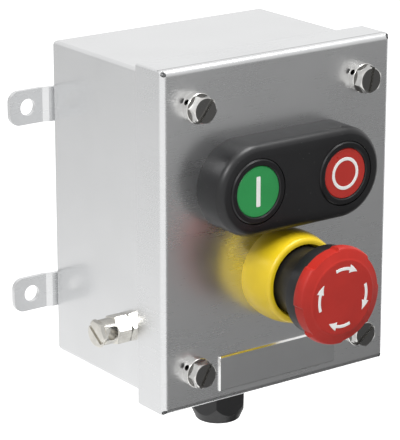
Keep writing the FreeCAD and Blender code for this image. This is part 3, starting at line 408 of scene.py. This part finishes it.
# %% One finish for each solid
DRESS = {
    SHEET: "enclosure_body corner_brackets",
    COVER_SHEET: "cover",
    LUG_SHEET: "upper_mounting_strap lower_mounting_strap",
    NICKEL: "earth_terminal earth_clamp_screw earth_washer earth_nut button_lock_nuts"
            " estop_lock_nut terminal_screws",
    COVER_SCREWS: "cover_screws",
    SHAFT_STEEL: "estop_shaft",
    SPRING_STEEL: "start_spring stop_spring estop_spring",
    PLATE: "blank_plate",
    BLACK: "button_housing estop_skirt estop_bushing",
    CAP_BLACK: "start_cap stop_cap",
    GLAND_BLACK: "gland_body gland_dome_nut gland_lock_nut",
    BLOCK_GREY: "start_contact_block stop_contact_block estop_contact_block",
    NATURAL: "screw_retainers start_stem stop_stem",
    GREEN: "start_disc",
    RED: "stop_disc",
    HEAD_RED: "estop_head",
    YELLOW: "estop_collar",
    RUBBER: "cover_gasket housing_gasket estop_gasket gland_gasket gland_seal stem_seals"
            " estop_seal",
}
for finish, names in DRESS.items():
    for name in names.split():
        mesh = solids[name].data
        mesh.materials.clear()
        mesh.materials.append(finish)
undressed = set(solids) - {name for names in DRESS.values() for name in names.split()}
print("solids left undressed:", sorted(undressed))

# %% [markdown]
# ## Copied springs
#
# Each push button and the mushroom press on a coil spring whose rear end stays where it is. A solid
# spring would poke through the cap that comes down on it. It could be wound anew, but the solid's
# coils are right. So each spring is replaced by a copy on the cover unit. The share of its length
# that it would keep, 1 less the joint's travel over the length, is worked out and printed, and the
# copy itself is not flattened.

# %% Springs copied onto the cover unit
def flattened_spring(name, joint):
    """Copy of a spring, the solid hidden. The share of length it would keep is only printed."""
    spring = bpy.data.objects.new(name + "_coil", solids[name].data.copy())
    bpy.context.scene.collection.objects.link(spring)
    (low_x, low_y, low_z), (high_x, high_y, high_z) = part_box(name)
    joints = {j["name"]: j for j in frame["record"]["behaviour"]["joints"]}
    travel = joints[joint]["range_m"][1]
    keep = 1 - travel / (high_y - low_y)
    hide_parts(name)
    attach(spring, "cover_unit")
    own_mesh(spring)
    print(spring.name, "keeps", round(keep, 2), "of its length")


flattened_spring("start_spring", "start_press")
flattened_spring("stop_spring", "stop_press")
flattened_spring("estop_spring", "estop_press")

# %% [markdown]
# ## From a grid of points to a piece
#
# Most of the forms that follow are grids of points: rows along one direction, columns round
# another. Blender's own tools could spin or sweep a shape, but a formula says exactly where each
# point is. One helper joins neighbouring points to four-cornered faces. The other turns points and
# faces into an object.

# %% Faces of a grid, and an object from them
def grid_quads(rows, columns, closed):
    """Four corners of each face. Columns always go round; rows do where closed says so.

    The point in a row and a column has the number row times the count of columns, plus column."""
    row, column = np.meshgrid(np.arange(rows if closed else rows - 1), np.arange(columns),
                              indexing="ij")
    here, ahead, beside = row * columns, (row + 1) % rows * columns, (column + 1) % columns
    return np.stack([here + column, here + beside, ahead + beside, ahead + column],
                    2).reshape(-1, 4).tolist()


def mesh_object(name, points, faces, material, sharp_degrees=None):
    """Object with flat faces, or smooth ones with an edge where two meet at more than the angle."""
    mesh = bpy.data.meshes.new(name)
    mesh.from_pydata(points, [], faces)
    mesh.materials.append(material)
    if sharp_degrees is not None:
        mesh.shade_smooth()
        mesh.set_sharp_from_angle(angle=math.radians(sharp_degrees))
    made = bpy.data.objects.new(name, mesh)
    bpy.context.scene.collection.objects.link(made)
    return made


print("faces of a closed grid of 3 by 4:", len(grid_quads(3, 4, closed=True)))

# %% [markdown]
# ## The mushroom's lobed head
#
# The real head has four broad lobes round its rim, with shallow gaps between them that give the
# fingers a hold, and a flatter front than the solid's. The gaps could be cut out of a disc with
# Booleans, which leave long thin faces that shade badly. So it is drawn as a turned surface: a
# profile, given as radius and height above the cover, is carried round the axis, and wherever it
# is wider than the lobed outline the outline wins, as a cutter would leave it. The corners of the
# profile are cut twice, which rounds them. The lengths that are typed in here are millimetres.

# %% Head profile with rounded corners
MOST_CUT = 1 / 3


def softened(profile, cut):
    """Each corner is replaced by two points a short way along its sides, twice over.

    A side's share that is cut away is the cut divided by its length, and a third at most."""
    points = np.array(profile, float)
    for _ in range(2):
        side = np.diff(points, axis=0)
        share = np.minimum(cut / np.linalg.norm(side, axis=1), MOST_CUT)[:, None]
        after, before = points[:-1] + side * share, points[1:] - side * share
        inner = np.stack([before[:-1], after[1:]], 1).reshape(-1, 2)
        points = np.vstack([points[:1], inner, points[-1:]])
    return points


HEAD_BACK, POCKET_RADIUS, POCKET_END = 34.4, 6.3, 35.5
HEAD_TOP, FACE_RADIUS, FULL_RADIUS = 41.2, 15.0, 20.0
HEAD_PROFILE = softened([
    (0, POCKET_END), (POCKET_RADIUS, POCKET_END), (POCKET_RADIUS, HEAD_BACK), (19.3, HEAD_BACK),
    (19.8, 35.4), (FULL_RADIUS, 37.0), (19.8, 38.4), (19.4, 39.6), (FACE_RADIUS + 0.5, 40.85),
    (FACE_RADIUS, HEAD_TOP), (0, HEAD_TOP)], cut=0.3) * MM
HEAD_FRONT = COVER_FRONT - HEAD_TOP * MM
print("head profile:", len(HEAD_PROFILE), "points")

# %% [markdown]
# The outline is full on the lobes and steps down smoothly to the gaps. A grid of points follows:
# one row for each point of the profile and one column for each angle. The first and the last point
# lie on the axis, so their rows shrink to one point each and the surface is closed.

# %% Turned surface, trimmed to the lobes
def lobed_radius(degrees, lobes, lobe_start, lobe_angle, slope, gap_depth):
    """Full radius less a smooth step: none on a lobe, the gap's depth between two lobes.

    With s, the angle past the lobe's edge over the slope, held between 0 and 1, the step is three
    times s squared less twice s cubed."""
    pitch = 360 / lobes
    off_middle = np.abs((degrees - lobe_start - lobe_angle / 2 + pitch / 2) % pitch - pitch / 2)
    step = np.clip((off_middle - lobe_angle / 2) / slope, 0, 1)
    return (FULL_RADIUS - gap_depth * step ** 2 * (3 - 2 * step)) * MM


def turned_head(name, columns):
    """Grid of points from the profile and the outline, closed by a fan at either end.

    The radius is the profile's, or the outline's where that is less. Sideways and upwards a point
    lies at the axis plus the radius times the cosine and the sine of its angle."""
    degrees = np.arange(columns) * 360 / columns
    reach = lobed_radius(degrees, lobes=4, lobe_start=47, lobe_angle=44, slope=4, gap_depth=1.4)
    radius = np.minimum(HEAD_PROFILE[1:-1, 0][:, None], reach)
    height = np.broadcast_to(HEAD_PROFILE[1:-1, 1][:, None], radius.shape)
    angle = np.radians(degrees)
    rim = np.stack([HEAD_X + radius * np.cos(angle), COVER_FRONT - height,
                    HEAD_Z + radius * np.sin(angle)], 2).reshape(-1, 3)
    poles = [[HEAD_X, COVER_FRONT - HEAD_PROFILE[k, 1], HEAD_Z] for k in (0, -1)]
    rows = len(HEAD_PROFILE) - 2
    around, last = np.arange(columns), (rows - 1) * columns
    after, back, front = (around + 1) % columns, rows * columns, rows * columns + 1
    fans = [np.stack([np.full(columns, back), after, around], 1).tolist(),
            np.stack([last + around, last + after, np.full(columns, front)], 1).tolist()]
    faces = grid_quads(rows, columns, closed=False) + fans[0] + fans[1]
    return mesh_object(name, rim.tolist() + poles, faces, HEAD_RED, sharp_degrees=35)


mushroom = turned_head("lobed_head", 360)
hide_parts("estop_head")
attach(mushroom, "estop_knob")
print("head faces:", len(mushroom.data.polygons))

# %% [markdown]
# ## The skirt under the head
#
# Under the head sits a black skirt: a neck that goes into the yellow collar, a flare, and a deep
# rim that the red head overhangs. It could be two or three stacked rings, but they would show
# joints that a moulding hasn't. One profile gives it in one piece. The profile doesn't reach the
# axis, because the shaft goes through the skirt, so the grid closes on itself in both directions,
# like a tyre.

# %% Skirt with a deep rim
def turned_ring(name, profile, columns, material):
    """Profile loop, radius and height, carried round the mushroom's axis.

    Sideways and upwards a point lies at the axis plus the radius times the cosine and the sine of
    its angle. Its y is the cover's front less the height."""
    radius, height = np.array(profile).T[:, :, None] * MM
    angle = np.arange(columns) * 2 * math.pi / columns
    points = np.stack([HEAD_X + radius * np.cos(angle), COVER_FRONT - height + 0 * angle,
                       HEAD_Z + radius * np.sin(angle)], 2)
    faces = grid_quads(len(profile), columns, closed=True)
    return mesh_object(name, points.reshape(-1, 3).tolist(), faces, material, sharp_degrees=30)


NECK_REAR = (COVER_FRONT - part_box("estop_skirt")[1][1]) / MM
HUB_RADIUS, NECK_INNER, NECK_OUTER, RIM_RADIUS = 4.55, 12.0, 14.0, 18.2
NECK_STRAIGHT, RIM_START, HUB_START, HUB_END = 26.0, 28.5, 29.6, 32.9
RIM_CORNER, RIM_CUT = 0.5, 0.15
turn = np.linspace(0, math.pi / 2, 9)
flare = np.stack([RIM_RADIUS - (RIM_RADIUS - NECK_OUTER) * np.cos(turn),
                  NECK_STRAIGHT + (RIM_START - NECK_STRAIGHT) * np.sin(turn)], 1)
SKIRT_PROFILE = [
    (HUB_RADIUS, HUB_START), (NECK_INNER, HUB_START), (NECK_INNER, NECK_REAR),
    (NECK_OUTER, NECK_REAR), *flare.tolist(), (RIM_RADIUS, HEAD_BACK - RIM_CORNER),
    (RIM_RADIUS - RIM_CUT, HEAD_BACK - RIM_CUT), (RIM_RADIUS - RIM_CORNER, HEAD_BACK),
    (POCKET_RADIUS, HEAD_BACK), (POCKET_RADIUS, HUB_END), (HUB_RADIUS, HUB_END)]
skirt = turned_ring("rimmed_skirt", SKIRT_PROFILE, 180, BLACK)
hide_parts("estop_skirt")
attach(skirt, "estop_knob")
print("skirt faces:", len(skirt.data.polygons))

# %% [markdown]
# ## A narrower shoulder for the pushbutton housing
#
# The real housing has upright walls for most of its height and a narrow rounded shoulder. The
# solid's shoulder starts lower and is broader. The housing could be drawn anew, but its wells, its
# barrels and its front face are right. So the piece below starts from the solid's own mesh and
# moves only the outer wall and the shoulder. Each point is described by its height above the cover
# and its reach, the distance from the line between the two buttons. How far a point has gone from
# the start to the end of the old shoulder tells where it belongs on the new one.

# %% Housing with its shoulder moved
OLD_SHOULDER = [(8.3, 19.3), (15.0, 14.2)]
NEW_SHOULDER = [(11.9, 18.7), (15.0, 16.0)]
SLACK = 0.001


def with_new_shoulder(height, reach, bulge):
    """New height and reach of the points on the outside, in millimetres.

    The share s of the old shoulder that lies behind a point is its projection on the chord. The
    new point is at s on the new chord, pushed outwards by four times the bulge times s times 1 - s.
    Below the shoulder the height is stretched and the reach is that of the new wall."""
    old, new = np.array(OLD_SHOULDER), np.array(NEW_SHOULDER)
    chord, new_chord = old[1] - old[0], new[1] - new[0]
    share = np.clip(((height - old[0, 0]) * chord[0] + (reach - old[0, 1]) * chord[1])
                    / np.dot(chord, chord), 0, 1)[:, None]
    outward = np.array([-new_chord[1], new_chord[0]]) / np.linalg.norm(new_chord)
    on_shoulder = new[0] + share * new_chord + 4 * bulge * share * (1 - share) * outward
    on_wall = np.stack([height * new[0, 0] / old[0, 0], np.full_like(height, new[0, 1])], 1)
    return np.where((height > old[0, 0] + SLACK)[:, None], on_shoulder, on_wall).T


print("the shoulder's start goes from", OLD_SHOULDER[0], "to", NEW_SHOULDER[0])

# %% [markdown]
# The points to move are the wall's and the shoulder's, and the edge of the front face, where the
# shoulder ends. The wall is what reaches further than 18.1 mm. The shoulder and the edge are what
# is higher than 8.2 mm and reaches further than 14.1 mm. The solid's mesh comes as loose
# triangles, so points at one place are joined first.

# %% The housing's mesh, joined and moved
def reshaped_housing(name, wall_reach=18.1, edge_reach=14.1, shoulder_height=8.2):
    """The solid's mesh with doubled points joined and its outer points moved."""
    solid = solids["button_housing"].data
    points, corners = np.empty(3 * len(solid.vertices)), np.empty(len(solid.loops), int)
    solid.vertices.foreach_get("co", points)
    solid.loops.foreach_get("vertex_index", corners)
    points, joined = np.unique(np.round(points.reshape(-1, 3) / MM, 4), axis=0,
                               return_inverse=True)
    height = COVER_FRONT / MM - points[:, 1]
    spine_x = np.clip(points[:, 0], START_X / MM, STOP_X / MM)
    side = np.stack([points[:, 0] - spine_x, points[:, 2] - BUTTON_Z / MM], 1)
    reach = np.linalg.norm(side, axis=1)
    wall = (reach > wall_reach) & (height > -SLACK)
    outside = wall | (reach > edge_reach) & (height > shoulder_height)
    new_height, new_reach = with_new_shoulder(height[outside], reach[outside], bulge=0.6)
    side[outside] *= (new_reach / reach[outside])[:, None]
    points[:, 0], points[:, 2] = spine_x + side[:, 0], BUTTON_Z / MM + side[:, 1]
    points[outside, 1] = COVER_FRONT / MM - new_height
    triangles = joined.ravel()[corners].reshape(-1, 3).tolist()
    return mesh_object(name, (points * MM).tolist(), triangles, BLACK, sharp_degrees=25)


housing = reshaped_housing("reshaped_housing")
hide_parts("button_housing")
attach(housing, "cover_unit")
print("housing faces:", len(housing.data.polygons))

# %% [markdown]
# ## White marks
#
# The start disc carries an upright bar, the stop disc a ring, and the mushroom four arrows that
# show which way to turn it. On the real parts they are moulded in white or printed, and stand a
# hair above the surface. They could be flat shapes, but a flat shape has no edge to catch the
# light. Here each mark is a ribbon: a small cushion-shaped section carried along a path, whose
# width may change on the way, so one function makes the bar, the ring and the arrows.

# %% A ribbon along a path in the front face
SECTION, STANDS, SINKS, BOXINESS = 16, 0.1 * MM, 0.05 * MM, 0.35


def ribbon(name, path, across, half_width, front, closed=False):
    """Mesh of a raised mark, from points in the front face and the sideways direction at each.

    The section at a point is a closed loop, a rounded box: its two coordinates are the cosine and
    the sine of the angle t, each raised to a small power. The cosine is scaled by the half width
    there, and the sine by how far the mark stands out of the face or sinks into it."""
    t = np.arange(SECTION) * 2 * math.pi / SECTION
    boxed = [np.sign(wave) * np.abs(wave) ** BOXINESS for wave in (np.cos(t), np.sin(t))]
    depth = np.where(boxed[1] > 0, STANDS, SINKS) * boxed[1]
    flat = path[:, None, :] + across[:, None, :] * (half_width[:, None] * boxed[0])[:, :, None]
    y = front - np.broadcast_to(depth, flat.shape[:2])
    points = np.stack([flat[:, :, 0], y, flat[:, :, 1]], 2).reshape(-1, 3).tolist()
    rows = len(path)
    faces = grid_quads(rows, SECTION, closed)
    if not closed:
        loop = np.arange(SECTION)
        faces += [loop[::-1].tolist(), (loop + (rows - 1) * SECTION).tolist()]
    return mesh_object(name, points, faces, WHITE)


print("each section of a mark has", SECTION, "points")

# %% [markdown]
# The bar is the simplest path, a straight line down the disc. Its ends are rounded off by letting
# the half width follow a quarter circle over the last few tenths of a millimetre.

# %% Start bar
ROUNDING = 1e-12


def start_bar(length, half, corner):
    """Straight ribbon. Near an end the half width shrinks along a quarter circle of the corner."""
    along = length / 2 * np.sin(np.linspace(math.pi / 2, -math.pi / 2, 61))
    into_corner = np.clip(corner - (length / 2 - np.abs(along)), 0, corner)
    half_width = half - corner + np.sqrt(corner ** 2 - into_corner ** 2 + ROUNDING)
    path = np.stack([np.full_like(along, START_X), BUTTON_Z + along], 1)
    across = np.broadcast_to([1.0, 0.0], path.shape)
    return ribbon("start_bar", path, across, half_width, DISC_FRONT)


bar = start_bar(length=12.2 * MM, half=0.98 * MM, corner=0.45 * MM)
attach(bar, "start_button")
print("bar faces:", len(bar.data.polygons))

# %% [markdown]
# The ring and the arrows follow circles. An arrow keeps its shaft's width to the root of the head,
# jumps to the head's width there and narrows to the tip. Going round clockwise, the sideways
# direction is always the one away from the axis.

# %% Stop ring and the arrows on the mushroom
def arc(centre_x, centre_z, radius, degrees):
    """Points on a circle at the given angles, and the outward direction at each."""
    angles = np.radians(degrees)
    outward = np.stack([np.cos(angles), np.sin(angles)], 1)
    return np.array([centre_x, centre_z]) + radius * outward, outward


RING_RADIUS, RING_HALF_WIDTH = 6.0 * MM, 0.68 * MM
path, outward = arc(STOP_X, BUTTON_Z, RING_RADIUS, np.arange(0, -360, -3.0))
ring_width = np.full(len(path), RING_HALF_WIDTH)
ring = ribbon("stop_ring", path, outward, ring_width, DISC_FRONT, closed=True)
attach(ring, "stop_button")

ARROW_RADIUS = 11.7 * MM
ARROW_START, ARROW_ROOT, ARROW_TIP = 18.0, -16.0, -35.0
SHAFT_WIDTH, BARB_WIDTH, TIP_WIDTH = 0.64 * MM, 1.75 * MM, 0.06 * MM
shaft = np.linspace(ARROW_START, ARROW_ROOT, 24)
barbs = np.linspace(ARROW_ROOT - 0.05, ARROW_TIP, 16)
arrow_width = np.concatenate([np.full(len(shaft), SHAFT_WIDTH),
                              np.linspace(BARB_WIDTH, TIP_WIDTH, len(barbs))])
for k in range(4):
    path, outward = arc(HEAD_X, HEAD_Z, ARROW_RADIUS, np.concatenate([shaft, barbs]) + 90 * k)
    arrow = ribbon("turn_arrow_" + str(k + 1), path, outward, arrow_width, HEAD_FRONT)
    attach(arrow, "estop_knob")
print("arrow length", round(math.radians(ARROW_START - ARROW_TIP) * ARROW_RADIUS / MM, 1), "mm")

# %% [markdown]
# ## Camera
#
# The station is seen from the front left and a little above, from nearly a metre away with a long
# lens, so its edges hardly converge. The camera could be turned by eye until it looks right. Here
# its place and its direction come from matching the box's corners and the round parts to their
# places in the picture.

# %% Camera from the matched view
PICTURE_WIDTH, PICTURE_HEIGHT = 400, 440
FOCAL_PIXELS = 2355.4
SIGHT = Vector((0.56184, 0.77185, -0.29763))
eye = Vector((-0.55396, COVER_FRONT - 0.70779, 0.28126))
camera = bpy.data.objects.new("camera", bpy.data.cameras.new("camera"))
camera.data.sensor_width = 36.0
camera.data.lens = FOCAL_PIXELS / max(PICTURE_WIDTH, PICTURE_HEIGHT) * camera.data.sensor_width
camera.location = eye
camera.rotation_euler = SIGHT.to_track_quat("-Z", "Y").to_euler()
camera.data.clip_start, camera.data.clip_end = 0.01, 50.0
bpy.context.scene.collection.objects.link(camera)
bpy.context.scene.camera = camera
print("lens", round(camera.data.lens, 1), "mm, distance", round(eye.length, 3), "m")

# %% [markdown]
# ## Studio
#
# The station hangs in front of a white ground, and the floor lies some way below it. Steel shows
# what surrounds it, so the surroundings matter more than the lamps: white all round gives the pale
# side and top, and the front must look into something darker, or it would be as white as the rest.
# In a studio that is a grey card to the right of the camera. A lamp for the white ground would
# light the station too, so the ground is white by its own colour, and FILL is the share of it
# that falls on things as light.

# %% White ground
def light_path_share(f, *rays):
    """One for the named kinds of ray, zero for the light that falls on things."""
    path = [f.node("LightPath", output="Is " + name + " Ray") for name in rays]
    share = path[0]
    for other in path[1:]:
        share = share.larger(other)
    return share


FILL = 0.42
world = bpy.data.worlds.new("studio")
world.use_nodes = True
bpy.context.scene.world = world


class Surroundings(Finish):
    """The world's own nodes, built with the same short names."""

    def __init__(self, owner):
        self.tree = owner.node_tree
        self.tree.nodes.clear()


sky = Surroundings(world)
shown = light_path_share(sky, "Camera", "Glossy", "Transmission")
background = sky.node("Background", None, {"Color": (1.0, 1.0, 1.0, 1.0),
                                           "Strength": FILL + (1 - FILL) * shown})
sky.node("OutputWorld", None, {"Surface": background})
print("fill light", FILL)

# %% [markdown]
# The floor could be left white by the lamps alone, but then it would be grey in the corners. It is
# a pale matt sheet that glows: nearly white for the camera, and about half of that in reflections,
# because the steel's lower faces look straight into it.

# %% Floor
FLOOR_SEEN, FLOOR_MIRRORED = 0.95, 0.58


def floor_finish():
    """Pale floor, lit up to white for the camera and less in reflections."""
    f = Finish("pale_floor")
    clouds = f.noise(0.5, None, 2, 0.5)
    glow = light_path_share(f, "Camera") * FLOOR_SEEN
    glow = glow.larger(light_path_share(f, "Glossy", "Transmission") * FLOOR_MIRRORED)
    return f.surface({"Base Color": f.mixed(clouds, (0.78, 0.78, 0.78), (0.8, 0.8, 0.8)),
                      "Roughness": 0.9, "Specular IOR Level": 0.0,
                      "Emission Color": glow, "Emission Strength": 1.0})


def plane(name, centre, right, up, material):
    """Flat sheet from its centre and the two vectors to its right and upper edges."""
    centre, right, up = (np.array(v, float) for v in (centre, right, up))
    corners = [centre - right - up, centre + right - up, centre + right + up, centre - right + up]
    sheet = mesh_object(name, [c.tolist() for c in corners], [(0, 1, 2, 3)], material)
    return sheet


FLOOR_Z = solid_box[0][2] - 0.4
plane("floor", (0, 0, FLOOR_Z), (6, 0, 0), (0, 6, 0), floor_finish())
print("floor at z", round(FLOOR_Z, 3))

# %% [markdown]
# Seen by the camera, the front mirrors what lies ahead of it, to the right and lower down. The
# grey card stands there. It is darker below than above and a little paler on its left, which gives
# the front its slow changes. Above the part that the front mirrors it is pale, and by way of the
# front that lights the housing's upper wall and the upper flats of the screws. A dark card lies
# low on the right, for the lower flats. The other three are white: the top and the cover's left
# bend look into two of them, and the left wall into the third, which turns grey higher up. Lamps
# could do the same, but they would light the floor and the plastics as well.

# %% Cards that are seen in reflections only
def reflected_card(name, direction, distance, half_width, half_height, shade):
    """Glowing card square to a direction from the middle of the cover.

    The shade is a function that turns the card's finish into its colour."""
    f = Finish(name)
    emission = f.node("Emission", None, {"Color": shade(f), "Strength": 1.0})
    f.node("OutputMaterial", None, {"Surface": emission})
    away = np.array(direction) / np.linalg.norm(direction)
    right = np.cross(away, [0, 0, 1])
    right /= np.linalg.norm(right)
    up = np.cross(right, away)
    centre = np.array([0, COVER_FRONT, 0]) + away * distance
    card = plane(name, centre, right * half_width, up * half_height, f.material)
    for ray in ("camera", "diffuse", "shadow", "transmission"):
        setattr(card, "visible_" + ray, False)
    print(name, "at", np.round(centre, 2).tolist())


def grey(level):
    """Neutral colour."""
    return (level, level, level)


def front_shade(f):
    """Grey that grows paler upwards and to the left, and pale above what the front mirrors."""
    left = f.mixed(f.fade(f.z, -0.27, 0.0), grey(0.345), grey(0.47))
    right = f.mixed(f.fade(f.z, -0.2, 0.05), grey(0.27), grey(0.34))
    mirrored = f.mixed(f.fade(f.x, 0.18, 0.33), left, right)
    return f.mixed(f.fade(f.z, 0.06, 0.14), mirrored, grey(0.8))


def white_shade(f):
    """White like the ground, and a little brighter below it."""
    return f.mixed(f.fade(f.z, -0.2, 0.05), grey(1.18), grey(1.03))


def side_shade(f):
    """White below, and light grey higher up."""
    return f.mixed(f.fade(f.z, -0.2, 0.01), grey(1.15), grey(0.78))


def dark_shade(f):
    """Nearly black."""
    return f.mixed(f.fade(f.z, -0.8, 0.0), grey(0.1), grey(0.16))


# Name, direction, distance, half width, half height and shade of each.
reflected_card("grey_card", (0.59, -0.81, -0.05), 0.5, 0.42, 0.42, front_shade)
reflected_card("low_card", (0.56, -0.25, -0.80), 0.5, 0.3, 0.26, dark_shade)
reflected_card("top_card", (0.562, 0.772, 0.298), 0.34, 0.35, 0.2, white_shade)
reflected_card("side_card", (-0.56, 0.77, -0.30), 0.35, 0.3, 0.3, side_shade)
reflected_card("bend_card", (-0.77, -0.56, -0.30), 0.7, 0.8, 0.4, white_shade)

# %% [markdown]
# ## Lamps
#
# Two soft boxes light the station. The large one hangs above and to the right, and brightens the
# upward faces. The smaller one stands at the upper left and makes the short bright streaks on the
# left ends of the round parts. Point lamps would do with less, but they draw hard shadows and
# small sparks of light that a studio doesn't have.

# %% Soft boxes
def soft_box(name, place, target, width, height, power):
    """Rectangular lamp aimed at a point."""
    lamp = bpy.data.lights.new(name, "AREA")
    lamp.shape = "RECTANGLE"
    lamp.size, lamp.size_y, lamp.energy = width, height, power
    box = bpy.data.objects.new(name, lamp)
    box.location = place
    box.rotation_euler = (Vector(target) - Vector(place)).to_track_quat("-Z", "Y").to_euler()
    bpy.context.scene.collection.objects.link(box)
    return box


MIDDLE = (0.0, -0.06, 0.0)
soft_box("upper_right_box", (0.25, -0.30, 1.05), MIDDLE, width=0.6, height=0.45, power=11.0)
soft_box("upper_left_box", (-0.62, -0.5, 0.62), MIDDLE, width=0.3, height=0.3, power=5.0)

# %% [markdown] ## Last step  The picture is shown as plain sRGB.

bpy.context.scene.view_settings.view_transform = "Standard"
